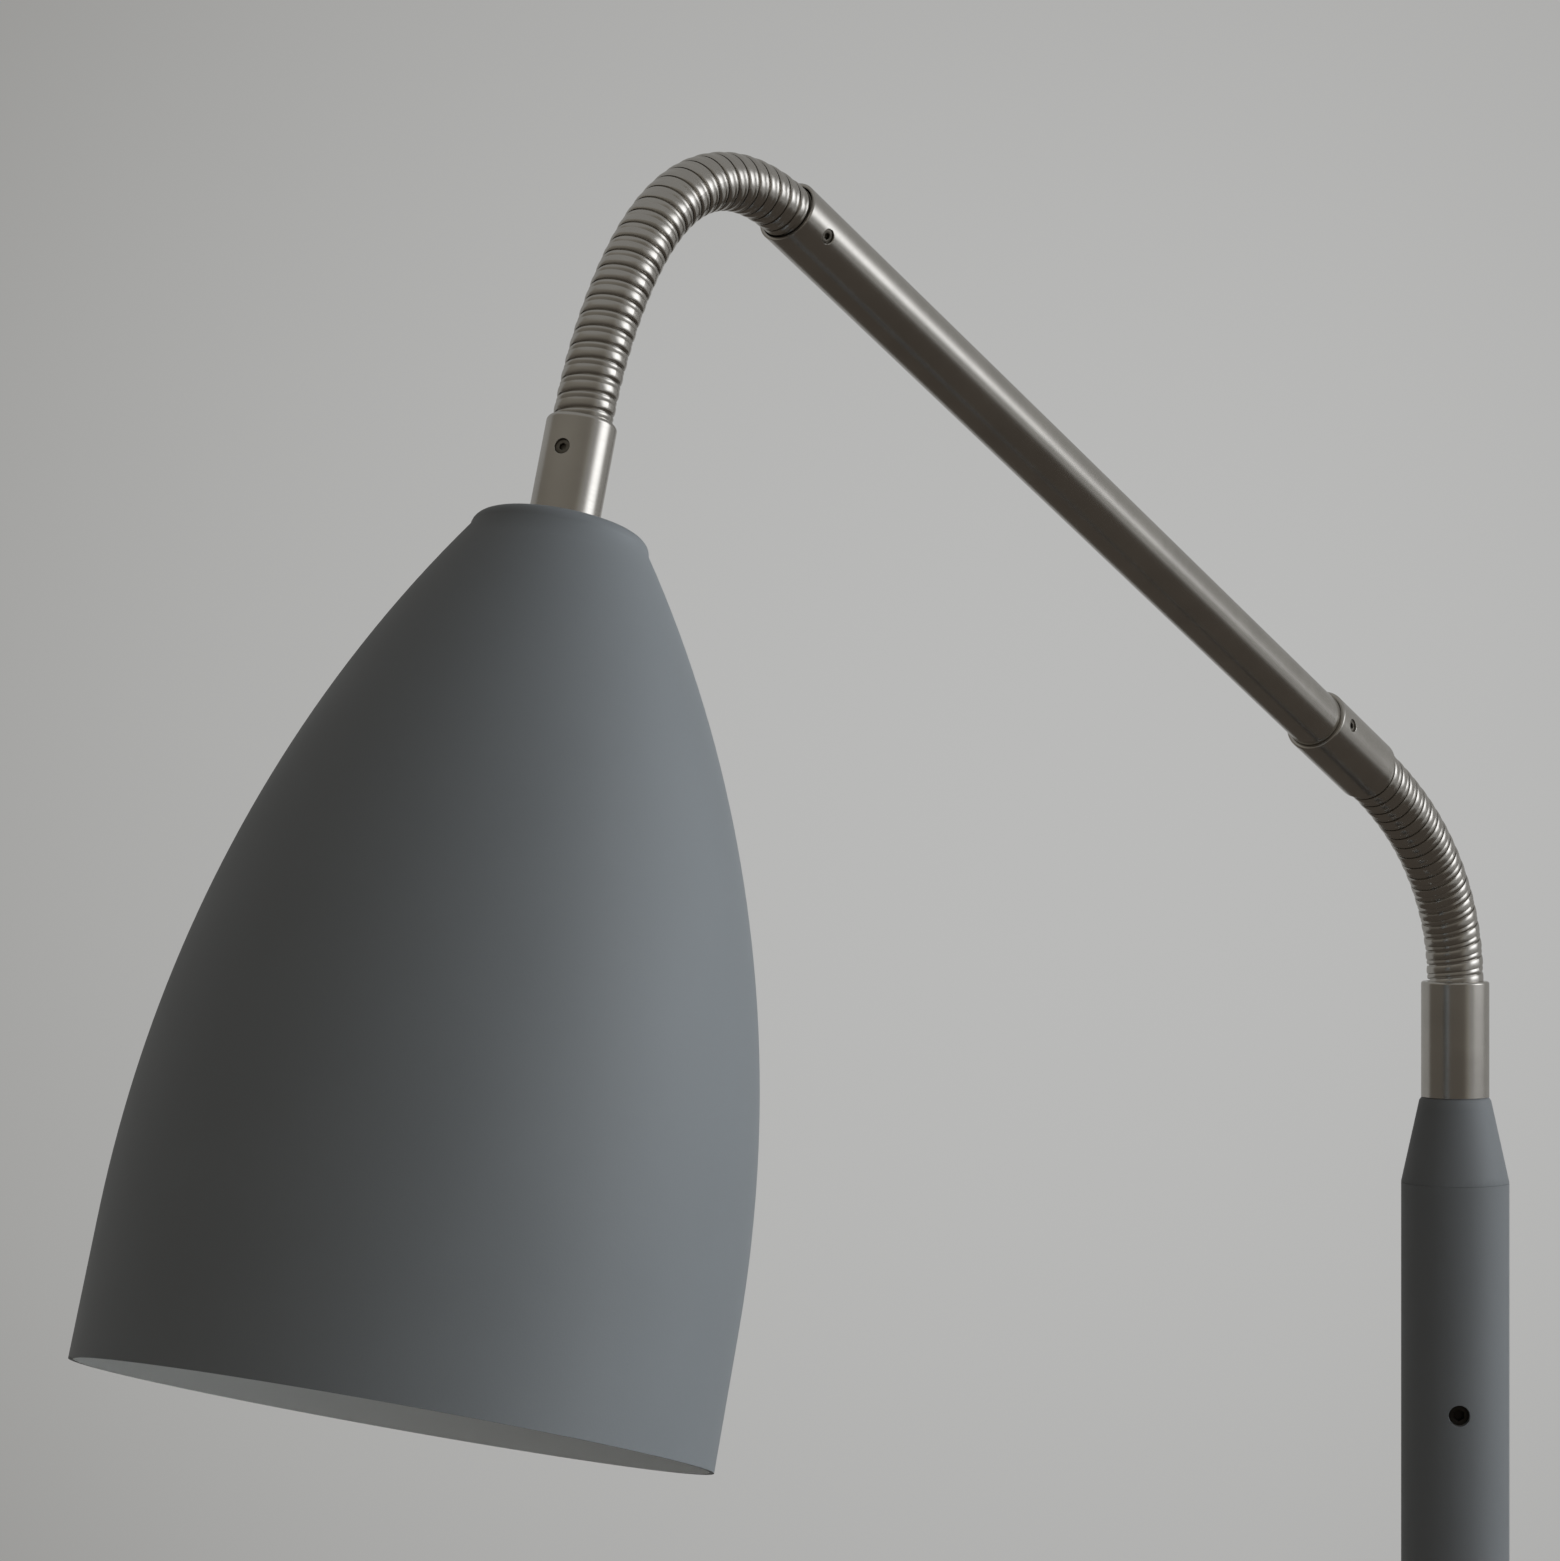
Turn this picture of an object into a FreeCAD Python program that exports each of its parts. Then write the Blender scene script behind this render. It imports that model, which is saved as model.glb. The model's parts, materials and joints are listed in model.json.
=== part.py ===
import FreeCAD, Part
import math
import os

# Gooseneck reading floor lamp. Millimetres, +Z up. The origin is on the floor, on the axis of the
# post. The lamp reaches forward along -Y, and both necks rest in the plane X = 0.
# A heading is the slope of the lamp's line in that plane: 90 is straight up, 0 is level forward.

# ---- Foot ----
FOOT_R = 140.0
FOOT_SHEET = 1.5
FOOT_EDGE_R = 8.0
FOOT_SKIRT_LIFT = 1.5
WEIGHT_THICK = 14.0
WEIGHT_EDGE_CLEARANCE = 1.0
PAD_THICK = 3.0
PAD_INSET = 2.0
RECESS_SIDE_SPARE = 4.0
RECESS_DEPTH_SPARE = 2.3

# ---- Cable bush: the inlet for the mains lead, in the back of the foot ----
BUSH_BORE_R = 3.3
BUSH_BARREL_WALL = 0.9
BUSH_FLANGE_WIDTH = 1.2
BUSH_FLANGE_THICK = 1.5
BUSH_INNER_LENGTH = 3.5
BUSH_ABOVE_SKIRT = 0.1
BUSH_AZIMUTH = 90.0

# ---- Post ----
POST_R = 16.0
POST_WALL = 1.5
POST_LENGTH = 981.5
BASE_PLUG_LENGTH = 30.0
INSERT_BELOW_SCREW = 17.7
INSERT_BORE_R = 4.0
CONE_HEIGHT = 25.5
CONE_LEDGE = 0.3
CONE_EDGE_HEIGHT = 1.0
CONE_EDGE_INSET = 0.5

# ---- Post's set screw ----
SET_SCREW_R = 2.9
SET_SCREW_LENGTH = 5.8
SET_SCREW_BELOW_TOP = 67.5
SET_SCREW_RECESS = 1.7
SET_SCREW_AZIMUTH = -56.0
SET_SCREW_SOCKET = 3.0
SET_SCREW_SOCKET_DEPTH = 2.9

# ---- Hollow threaded studs and their nuts ----
STUD_R = 4.95
STUD_BORE_R = 3.2
STUD_GRIP = 14.0
FOOT_NUT_ACROSS = 17.0
FOOT_NUT_THICK = 4.0
FOOT_WASHER_R = 12.0
WASHER_THICK = 1.2
SHADE_NUT_ACROSS = 14.0
SHADE_NUT_THICK = 5.0
SHADE_WASHER_R = 9.0

# ---- Fits ----
SLIP = 0.05
HOLE_CLEARANCE = 0.2
JOINT_CLEARANCE = 0.15
SHOULDER_CLEARANCE = 0.15

# ---- Both necks: the form of a segment ----
SEGMENT_BEVEL = 0.3
LIP_WALL = 0.75
LIP_REACH = 0.3
BALL_TIP_WALL = 1.2

# ---- Lower neck and its collar ----
LOWER_NECK_R = 8.4
LOWER_NECK_BORE_R = 4.0
LOWER_NECK_PITCH = 4.78
LOWER_NECK_SEGMENTS = 8
LOWER_NECK_MAX_TILT = 15.5
LOWER_NECK_TAPER = 0.6
LOWER_COLLAR_WALL = 1.65
LOWER_COLLAR_LENGTH = 34.6
LOWER_COLLAR_EDGE_R = 0.8

# ---- Upper neck ----
UPPER_NECK_R = 6.85
UPPER_NECK_BORE_R = 3.2
UPPER_NECK_PITCH = 3.856
UPPER_NECK_SEGMENTS = 13
UPPER_NECK_MAX_TILT = 16.0
UPPER_NECK_GENTLE_TURN = 3.14
UPPER_NECK_TIGHT_JOINT = 3.46
UPPER_NECK_TIGHT_SPREAD = 3.69

# ---- Arm ----
ARM_HEADING = 26.4
ARM_WALL = 0.9
ARM_MOUTH_GAP = 0.25
ARM_SPAN = 294.0
ARM_MOUTH_REACH = 2.2
ARM_IN_SLEEVE = 15.0
UPPER_PLUG_LENGTH = 20.0
SLEEVE_WALL = 0.8
SLEEVE_LENGTH = 31.0
SLEEVE_EDGE_R = 0.5

# ---- Grub screws of the ferrules ----
GRUB_R = 1.75
GRUB_SOCKET = 1.5
GRUB_SOCKET_DEPTH = 1.0
GRUB_RECESS = 0.5
GRUB_BITE = 1.2
SLEEVE_GRUB_FROM_RIM = 5.5
SLEEVE_GRUB_AZIMUTH = 6.0
ARM_GRUB_FROM_MOUTH = 8.2
ARM_GRUB_AZIMUTH = -19.0
COLLAR_GRUB_FROM_TOP = 8.5
COLLAR_GRUB_AZIMUTH = 72.0

# ---- Shade and its collar ----
SHADE_HEADING = -74.4
SHADE_COLLAR_WALL = 1.1
SHADE_COLLAR_LENGTH = 25.1
SHADE_COLLAR_EDGE_R = 1.2
SHADE_PLUG_LENGTH = 16.5
SHADE_LENGTH = 198.0
SHADE_RIM_R = 69.1
SHADE_RIM_STRAIGHT = 30.6
SHADE_TOP_R = 17.85
SHADE_TOP_EDGE_R = 4.0
SHADE_SHEET = 1.0

# ---- Lampholder ----
HOLDER_NECK_R = 8.5
HOLDER_NECK_LENGTH = 7.0
HOLDER_R = 19.8
HOLDER_WALL = 2.0
HOLDER_CAP_LENGTH = 26.0
HOLDER_CAP_RIM = 6.0
HOLDER_BODY_LENGTH = 36.0
HOLDER_CORE_THICK = 8.0
HOLDER_SHELL_R = 14.3
HOLDER_SHELL_WALL = 0.5
HOLDER_SHELL_LENGTH = 25.0
CONTACT_R = 2.6
CONTACT_HEIGHT = 3.0
TERMINAL_SCREW_R = 1.5
TERMINAL_HEAD_R = 2.6
TERMINAL_HEAD_HEIGHT = 2.0
TERMINAL_SHANK_LENGTH = 4.0
TERMINAL_OFFSET = 10.0

# ---- Bulb ----
BULB_THREAD_CLEARANCE = 0.6
BULB_TIP_R = 4.8
BULB_TIP_HEIGHT = 2.5
BULB_CAP_WALL = 0.6
BULB_CAP_LENGTH = 24.0
BULB_HOUSING_LENGTH = 34.0
BULB_HOUSING_WALL = 1.5
BULB_GLOBE_R = 30.0
BULB_GLOBE_MOUTH_R = 22.8
BULB_GLOBE_WALL = 1.2

FULL_TURN = 360.0
STRAIGHT_UP = 90.0
OVERSHOOT = 1.0

# ---- Radii that follow from the sizes above ----
WEIGHT_R = FOOT_R - FOOT_EDGE_R - WEIGHT_EDGE_CLEARANCE
PAD_R = WEIGHT_R - PAD_INSET
RECESS_R = FOOT_WASHER_R + RECESS_SIDE_SPARE
BUSH_BARREL_R = BUSH_BORE_R + BUSH_BARREL_WALL
BUSH_FLANGE_R = BUSH_BARREL_R + BUSH_FLANGE_WIDTH
POST_BORE_R = POST_R - POST_WALL
LOWER_COLLAR_R = LOWER_NECK_R + SLIP + LOWER_COLLAR_WALL
CONE_TOP_R = LOWER_COLLAR_R + CONE_LEDGE
ARM_BORE_R = UPPER_NECK_R + ARM_MOUTH_GAP
ARM_R = ARM_BORE_R + ARM_WALL
SLEEVE_R = max(LOWER_NECK_R, ARM_R) + SLIP + SLEEVE_WALL
SHADE_COLLAR_R = UPPER_NECK_R + SLIP + SHADE_COLLAR_WALL
BULB_CAP_R = HOLDER_SHELL_R - HOLDER_SHELL_WALL - BULB_THREAD_CLEARANCE

# ---- Levels along the post ----
PAD_TOP = PAD_THICK
WEIGHT_TOP = PAD_TOP + WEIGHT_THICK
COVER_TOP = WEIGHT_TOP + FOOT_SHEET
FOOT_NUT_Z = PAD_TOP + RECESS_DEPTH_SPARE
FOOT_WASHER_Z = FOOT_NUT_Z + FOOT_NUT_THICK
RECESS_TOP = FOOT_WASHER_Z + WASHER_THICK
BUSH_Z = FOOT_SKIRT_LIFT + BUSH_ABOVE_SKIRT + BUSH_FLANGE_R
POST_TOP = COVER_TOP + POST_LENGTH
CONE_TOP = POST_TOP + CONE_HEIGHT
NECK_START = CONE_TOP + LOWER_COLLAR_LENGTH

# ---- Levels along the head, counted down from the top of the shade's collar ----
SHADE_TOP = SHADE_COLLAR_LENGTH
SHADE_RIM = SHADE_TOP + SHADE_LENGTH
SHADE_WASHER_Z = SHADE_TOP + SHADE_SHEET
SHADE_NUT_Z = SHADE_WASHER_Z + WASHER_THICK
HOLDER_TOP = SHADE_NUT_Z + SHADE_NUT_THICK
HOLDER_BODY_TOP = HOLDER_TOP + HOLDER_CAP_LENGTH
CORE_BOTTOM = HOLDER_BODY_TOP + HOLDER_CORE_THICK
BULB_TOP = CORE_BOTTOM + CONTACT_HEIGHT


def point(radius, z):
    """A point of an outline that is turned about Z."""
    return FreeCAD.Vector(radius, 0, z)


def line(start, end):
    return Part.makeLine(point(*start), point(*end))


def arc(start, middle, end):
    return Part.Arc(point(*start), point(*middle), point(*end)).toShape()


def quarter(start, corner, end):
    """The quarter circle that rounds a square corner, from a point on one side to the other."""
    centre = [s + e - c for s, c, e in zip(start, corner, end)]
    middle = [m + (c - m) * math.sqrt(0.5) for m, c in zip(centre, corner)]
    return arc(start, middle, end)


def path(points):
    """Straight edges through the points, without those of no length."""
    pairs = zip(points, points[1:])
    return [line(a, b) for a, b in pairs if math.dist(a, b) > Part.Precision.confusion()]


def turned(edges):
    """The solid that a closed outline makes when it is turned once about Z."""
    face = Part.Face(Part.Wire(edges))
    solid = face.revolve(FreeCAD.Vector(), FreeCAD.Vector(0, 0, 1), FULL_TURN)
    return solid if solid.Volume > 0 else solid.reversed()


def turned_polygon(points):
    return turned(path(points + points[:1]))


def ring(outer_r, inner_r, z, height):
    """A plain tube or washer that stands on z."""
    top = z + height
    return turned_polygon([(inner_r, z), (outer_r, z), (outer_r, top), (inner_r, top)])


def rod(radius, z, height):
    return Part.makeCylinder(radius, height, FreeCAD.Vector(0, 0, z))


def hexagon(across_flats, z, height):
    """A hexagonal prism that stands on z."""
    corner_r = across_flats / math.sqrt(3)
    angles = [math.radians(60 * i) for i in range(7)]
    corners = [FreeCAD.Vector(corner_r * math.cos(a), corner_r * math.sin(a), z) for a in angles]
    return Part.Face(Part.makePolygon(corners)).extrude(FreeCAD.Vector(0, 0, height))


def nut(across_flats, z, height):
    """A nut on one of the hollow studs."""
    return hexagon(across_flats, z, height).cut(rod(STUD_R + SLIP, z, height))


def radial(shape, z, azimuth, distance=0.0):
    """Lay a shape that points up Z so that it points away from the axis, at a height and azimuth."""
    outward = FreeCAD.Rotation(FreeCAD.Vector(0, 1, 0), 90)
    swing = FreeCAD.Rotation(FreeCAD.Vector(0, 0, 1), azimuth)
    laid = shape.copy()
    laid.Placement = FreeCAD.Placement(FreeCAD.Vector(0, 0, z), swing * outward).multiply(
        FreeCAD.Placement(FreeCAD.Vector(0, 0, distance), FreeCAD.Rotation()))
    return laid


def radial_hole(radius, inner, outer, z, azimuth):
    return radial(rod(radius, inner, outer - inner), z, azimuth)


def socket_screw(radius, length, across, socket_depth):
    """A headless screw from z = 0 up, with a hexagonal socket in its top."""
    return rod(radius, 0, length).cut(hexagon(across, length - socket_depth, socket_depth))


class Frame:
    """A place on the lamp's line, and its heading there. Local Z runs along the line."""

    def __init__(self, position, heading):
        self.position = position
        self.heading = heading

    def ahead(self, distance):
        slope = math.radians(self.heading)
        step = FreeCAD.Vector(0, -distance * math.cos(slope), distance * math.sin(slope))
        return Frame(self.position + step, self.heading)

    def turned_down(self, angle):
        return Frame(self.position, self.heading - angle)

    def place(self, shape):
        tilt = FreeCAD.Rotation(FreeCAD.Vector(1, 0, 0), STRAIGHT_UP - self.heading)
        placed = shape.copy()
        placed.Placement = FreeCAD.Placement(self.position, tilt).multiply(shape.Placement)
        return placed


class Neck:
    """A flexible neck of wound strip, as a chain of plain rigid segments of two turns each.

    Each segment ends in a ball, on which the lip of the next one is seated, so that the neck
    is closed at every bend. The ball's centre is the joint's axis.
    """

    def __init__(self, outer_r, bore_r, pitch, max_tilt, turns):
        self.outer_r = outer_r
        self.bore_r = bore_r
        self.pitch = pitch
        self.turns = turns
        self.edge_r = outer_r - SEGMENT_BEVEL
        self.socket_r = outer_r - LIP_WALL
        self.ball_r = self.socket_r - JOINT_CLEARANCE
        gap = self.edge_r * math.sin(math.radians(max_tilt)) + SHOULDER_CLEARANCE
        self.shoulder = LIP_REACH + gap

    def joints(self, start):
        """The frames with which the neck leaves each joint, and the frame where it ends."""
        frames = []
        here = start.ahead(self.pitch)
        for turn in self.turns:
            here = here.turned_down(turn)
            frames.append(here)
            here = here.ahead(2 * self.pitch)
        return frames, frames[-1].ahead(self.pitch)

    def barrel(self, start, end):
        """A plain length of the neck, with bevelled ends."""
        return turned_polygon([(0, start), (self.edge_r, start),
                               (self.outer_r, start + SEGMENT_BEVEL),
                               (self.outer_r, end - SEGMENT_BEVEL), (self.edge_r, end), (0, end)])

    def ball(self, centre):
        """The ball, cut off flat in front, where its wall round the bore is thin."""
        front = math.degrees(math.acos((self.bore_r + BALL_TIP_WALL) / self.ball_r))
        return Part.makeSphere(self.ball_r, FreeCAD.Vector(0, 0, centre),
                               FreeCAD.Vector(0, 0, 1), -STRAIGHT_UP, front, FULL_TURN)

    def hollowed(self, solid, start, end):
        """The solid with the neck's bore through it, from one level to another."""
        return solid.cut(rod(self.bore_r, start, end - start))

    def seated(self, solid):
        """The solid with the hollow at z = 0 that seats the ball of the piece before it."""
        return solid.cut(Part.makeSphere(self.socket_r))

    def segment(self):
        """Two turns, from the socket at z = 0 to the ball two pitches on."""
        centre = 2 * self.pitch
        solid = self.barrel(-LIP_REACH, centre - self.shoulder).fuse(self.ball(centre))
        return self.hollowed(self.seated(solid), -self.outer_r, centre + self.outer_r)

    def start_plug(self, shank_r, shank_length):
        """The fixed end of the neck: a shank below z = 0, a short barrel and the first ball."""
        shank = rod(shank_r, -shank_length, shank_length)
        solid = shank.fuse(self.barrel(0, self.pitch - self.shoulder)).fuse(self.ball(self.pitch))
        return self.hollowed(solid, -shank_length, self.pitch + self.outer_r)

    def end_plug(self, shank_r, shank_length):
        """The far end of the neck: the socket at z = 0, and a shank after one pitch."""
        end = rod(shank_r, self.pitch, shank_length)
        solid = self.seated(self.barrel(-LIP_REACH, self.pitch).fuse(end))
        return self.hollowed(solid, -self.outer_r, self.pitch + shank_length)


def tapering_turns(count, total, taper):
    """Turns that fall evenly along the neck, by a share of their mean each way."""
    mean = total / count
    return [mean * (1 + taper * (1 - 2 * i / (count - 1))) for i in range(count)]


def crowned_turns(count, total, gentle, tightest, spread):
    """Gentle turns along the whole neck, with the rest of the total gathered about one joint."""
    crown = [math.exp(-((i - tightest) / spread) ** 2) for i in range(count)]
    share = (total - count * gentle) / sum(crown)
    return [gentle + share * c for c in crown]


def foot():
    """Pad, weight, cover and the bush for the mains lead."""
    slot_width = 2 * (BUSH_BARREL_R + HOLE_CLEARANCE)
    slot_top = BUSH_Z + BUSH_BARREL_R + HOLE_CLEARANCE
    slot = Part.makeBox(slot_width, WEIGHT_R, slot_top - PAD_TOP,
                        FreeCAD.Vector(-slot_width / 2, 0, PAD_TOP))
    weight = ring(WEIGHT_R, STUD_R + HOLE_CLEARANCE, PAD_TOP, WEIGHT_THICK)
    weight = weight.cut(rod(RECESS_R, PAD_TOP, RECESS_TOP - PAD_TOP)).cut(slot)
    bush_hole = radial_hole(BUSH_BARREL_R + SLIP, WEIGHT_R, FOOT_R + OVERSHOOT, BUSH_Z,
                            BUSH_AZIMUTH)
    return {"foot_pad": rod(PAD_R, 0, PAD_THICK), "foot_weight": weight,
            "foot_cover": turned(cover_outline()).cut(bush_hole), "cable_bush": cable_bush()}


def cable_bush():
    """A barrel through the cover's skirt, with a flange against the outside of it."""
    start = FOOT_R - FOOT_SHEET - BUSH_INNER_LENGTH
    end = FOOT_R + BUSH_FLANGE_THICK
    flange = rod(BUSH_FLANGE_R, FOOT_R, BUSH_FLANGE_THICK)
    barrel = rod(BUSH_BARREL_R, start, FOOT_R - start).fuse(flange)
    return radial(barrel.cut(rod(BUSH_BORE_R, start, end - start)), BUSH_Z, BUSH_AZIMUTH)


def cover_outline():
    """The spun sheet over the weight, with a rounded edge."""
    hole_r = STUD_R + HOLE_CLEARANCE
    bend_r = FOOT_R - FOOT_EDGE_R
    bend_z = COVER_TOP - FOOT_EDGE_R
    inner_r = FOOT_R - FOOT_SHEET
    outer = quarter((bend_r, COVER_TOP), (FOOT_R, COVER_TOP), (FOOT_R, bend_z))
    inner = quarter((inner_r, bend_z), (inner_r, WEIGHT_TOP), (bend_r, WEIGHT_TOP))
    skirt = path([(FOOT_R, bend_z), (FOOT_R, FOOT_SKIRT_LIFT), (inner_r, FOOT_SKIRT_LIFT),
                  (inner_r, bend_z)])
    top = path([(bend_r, WEIGHT_TOP), (hole_r, WEIGHT_TOP), (hole_r, COVER_TOP),
                (bend_r, COVER_TOP)])
    return [outer] + skirt + [inner] + top


def foot_fixing():
    """The stud that draws the post and the weight together, with its washer and nut."""
    stud_top = COVER_TOP + STUD_GRIP
    return {"foot_nut": nut(FOOT_NUT_ACROSS, FOOT_NUT_Z, FOOT_NUT_THICK),
            "foot_washer": ring(FOOT_WASHER_R, STUD_R + HOLE_CLEARANCE, FOOT_WASHER_Z,
                                WASHER_THICK),
            "foot_stud": ring(STUD_R, STUD_BORE_R, FOOT_NUT_Z, stud_top - FOOT_NUT_Z),
            "post_base_plug": ring(POST_BORE_R - SLIP, STUD_R + SLIP, COVER_TOP,
                                   BASE_PLUG_LENGTH)}


def post():
    """The tube, the insert in its top, the set screw, the cone and the stud above them."""
    screw_z = POST_TOP - SET_SCREW_BELOW_TOP
    screw_start = POST_R - SET_SCREW_RECESS - SET_SCREW_LENGTH
    tube_hole = radial_hole(SET_SCREW_R + HOLE_CLEARANCE, screw_start, POST_R + OVERSHOOT,
                            screw_z, SET_SCREW_AZIMUTH)
    insert_hole = radial_hole(SET_SCREW_R + SLIP, screw_start, POST_R, screw_z,
                              SET_SCREW_AZIMUTH)
    screw = socket_screw(SET_SCREW_R, SET_SCREW_LENGTH, SET_SCREW_SOCKET,
                         SET_SCREW_SOCKET_DEPTH)
    tube = ring(POST_R, POST_BORE_R, COVER_TOP, POST_LENGTH).cut(tube_hole)

    insert_length = SET_SCREW_BELOW_TOP + INSERT_BELOW_SCREW
    stud_z = POST_TOP - STUD_GRIP
    insert = ring(POST_BORE_R - SLIP, INSERT_BORE_R, POST_TOP - insert_length, insert_length)
    insert = insert.cut(rod(STUD_R + SLIP, stud_z, STUD_GRIP)).cut(insert_hole)
    stud = ring(STUD_R, STUD_BORE_R, stud_z, CONE_HEIGHT + 2 * STUD_GRIP)
    return {"post_tube": tube, "post_top_insert": insert, "post_top_cone": cone(),
            "post_set_screw": radial(screw, screw_z, SET_SCREW_AZIMUTH, screw_start),
            "neck_stud": stud}


def cone():
    """The turned cone from the post's width to the collar's, with a broken top edge."""
    slope = (POST_R - CONE_TOP_R) / CONE_HEIGHT
    hole_r = STUD_R + HOLE_CLEARANCE
    return turned_polygon([(hole_r, POST_TOP), (POST_R, POST_TOP),
                           (CONE_TOP_R + slope * CONE_EDGE_HEIGHT, CONE_TOP - CONE_EDGE_HEIGHT),
                           (CONE_TOP_R - CONE_EDGE_INSET, CONE_TOP), (hole_r, CONE_TOP)])


def ferrule(outer_r, bore_r, plain_z, rounded_z, edge_r):
    """A tube between two levels, with its outer edge rounded at the second."""
    back_z = rounded_z + math.copysign(edge_r, plain_z - rounded_z)
    start = (outer_r, back_z)
    end = (outer_r - edge_r, rounded_z)
    sides = path([end, (bore_r, rounded_z), (bore_r, plain_z), (outer_r, plain_z), start])
    return turned([quarter(start, (outer_r, rounded_z), end)] + sides)


def grub_screw(surface_r, seat_r, z, azimuth):
    """A grub screw that ends just under the ferrule's surface, and the hole that it is in."""
    end = surface_r - GRUB_RECESS
    start = seat_r - GRUB_BITE
    screw = radial(socket_screw(GRUB_R, end - start, GRUB_SOCKET, GRUB_SOCKET_DEPTH),
                   z, azimuth, start)
    return screw, radial_hole(GRUB_R + SLIP, start, surface_r + OVERSHOOT, z, azimuth)


def lower_neck_base(neck):
    """The nickel collar on the cone, and the plug that holds the neck in it."""
    collar = ferrule(LOWER_COLLAR_R, neck.outer_r + SLIP, CONE_TOP, NECK_START,
                     LOWER_COLLAR_EDGE_R)
    plug = neck.start_plug(neck.outer_r, LOWER_COLLAR_LENGTH)
    thread = rod(STUD_R + SLIP, -LOWER_COLLAR_LENGTH, STUD_GRIP)
    base = Frame(FreeCAD.Vector(0, 0, NECK_START), STRAIGHT_UP)
    return {"lower_collar": collar, "lower_neck_base_plug": base.place(plug.cut(thread))}


def neck_segments(prefix, neck, frames):
    """One node for each segment. The last joint carries the end plug instead."""
    segment = neck.segment()
    return {f"{prefix}_{i + 1:02d}": frame.place(segment) for i, frame in enumerate(frames[:-1])}


def arm(lower, lower_joint, upper, start, upper_start):
    """The sleeve over the lower neck's end, the tube, and the plug of the upper neck."""
    tube_start = SLEEVE_LENGTH - ARM_IN_SLEEVE
    tube_end = ARM_SPAN + ARM_MOUTH_REACH
    sleeve = ferrule(SLEEVE_R, ARM_R + SLIP, 0, SLEEVE_LENGTH, SLEEVE_EDGE_R)
    sleeve = sleeve.cut(rod(lower.outer_r + SLIP, 0, tube_start))
    tube = ring(ARM_R, ARM_BORE_R, tube_start, tube_end - tube_start)
    sleeve_grub, sleeve_hole = grub_screw(SLEEVE_R, ARM_R, SLEEVE_LENGTH - SLEEVE_GRUB_FROM_RIM,
                                          SLEEVE_GRUB_AZIMUTH)
    mouth_grub, mouth_hole = grub_screw(ARM_R, ARM_BORE_R, tube_end - ARM_GRUB_FROM_MOUTH,
                                        ARM_GRUB_AZIMUTH)
    plug_hole = mouth_hole.translated(FreeCAD.Vector(0, 0, -ARM_SPAN))
    upper_plug = upper.start_plug(ARM_BORE_R - SLIP, UPPER_PLUG_LENGTH).cut(plug_hole)
    return {"lower_neck_arm_plug": lower_joint.place(lower.end_plug(lower.outer_r, tube_start)),
            "arm_lower_sleeve": start.place(sleeve.cut(sleeve_hole)),
            "arm_tube": start.place(tube.cut(sleeve_hole).cut(mouth_hole)),
            "sleeve_grub_screw": start.place(sleeve_grub),
            "arm_grub_screw": start.place(mouth_grub),
            "upper_neck_arm_plug": upper_start.place(upper_plug)}


def shade_outer_r(above_rim):
    """The shade's outer radius at a height above its rim: one arc over the straight stretch."""
    arc_height = SHADE_LENGTH - SHADE_RIM_STRAIGHT
    arc_inset = SHADE_RIM_R - SHADE_TOP_R
    arc_r = (arc_height ** 2 + arc_inset ** 2) / (2 * arc_inset)
    over = max(above_rim - SHADE_RIM_STRAIGHT, 0)
    return SHADE_RIM_R - arc_r + math.sqrt(arc_r ** 2 - over ** 2)


def shade():
    """The spun shade: a flat top with a rounded edge, one long arc, and a straight rim."""
    middle_height = (SHADE_LENGTH + SHADE_RIM_STRAIGHT) / 2
    top_edge = (SHADE_TOP_R, SHADE_TOP)
    middle = (shade_outer_r(middle_height), SHADE_RIM - middle_height)
    side_end = (SHADE_RIM_R, SHADE_RIM - SHADE_RIM_STRAIGHT)
    straight = path([side_end, (SHADE_RIM_R, SHADE_RIM), (0, SHADE_RIM), (0, SHADE_TOP), top_edge])
    block = turned([arc(top_edge, middle, side_end)] + straight)
    top_rim = min(block.Edges, key=lambda edge: edge.BoundBox.ZMax)
    block = block.makeFillet(SHADE_TOP_EDGE_R, [top_rim])
    mouth = max(block.Faces, key=lambda face: face.BoundBox.ZMin)
    shell = block.makeThickness([mouth], -SHADE_SHEET, Part.Precision.confusion())
    return shell.cut(rod(STUD_R + HOLE_CLEARANCE, SHADE_TOP, SHADE_SHEET))


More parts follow.
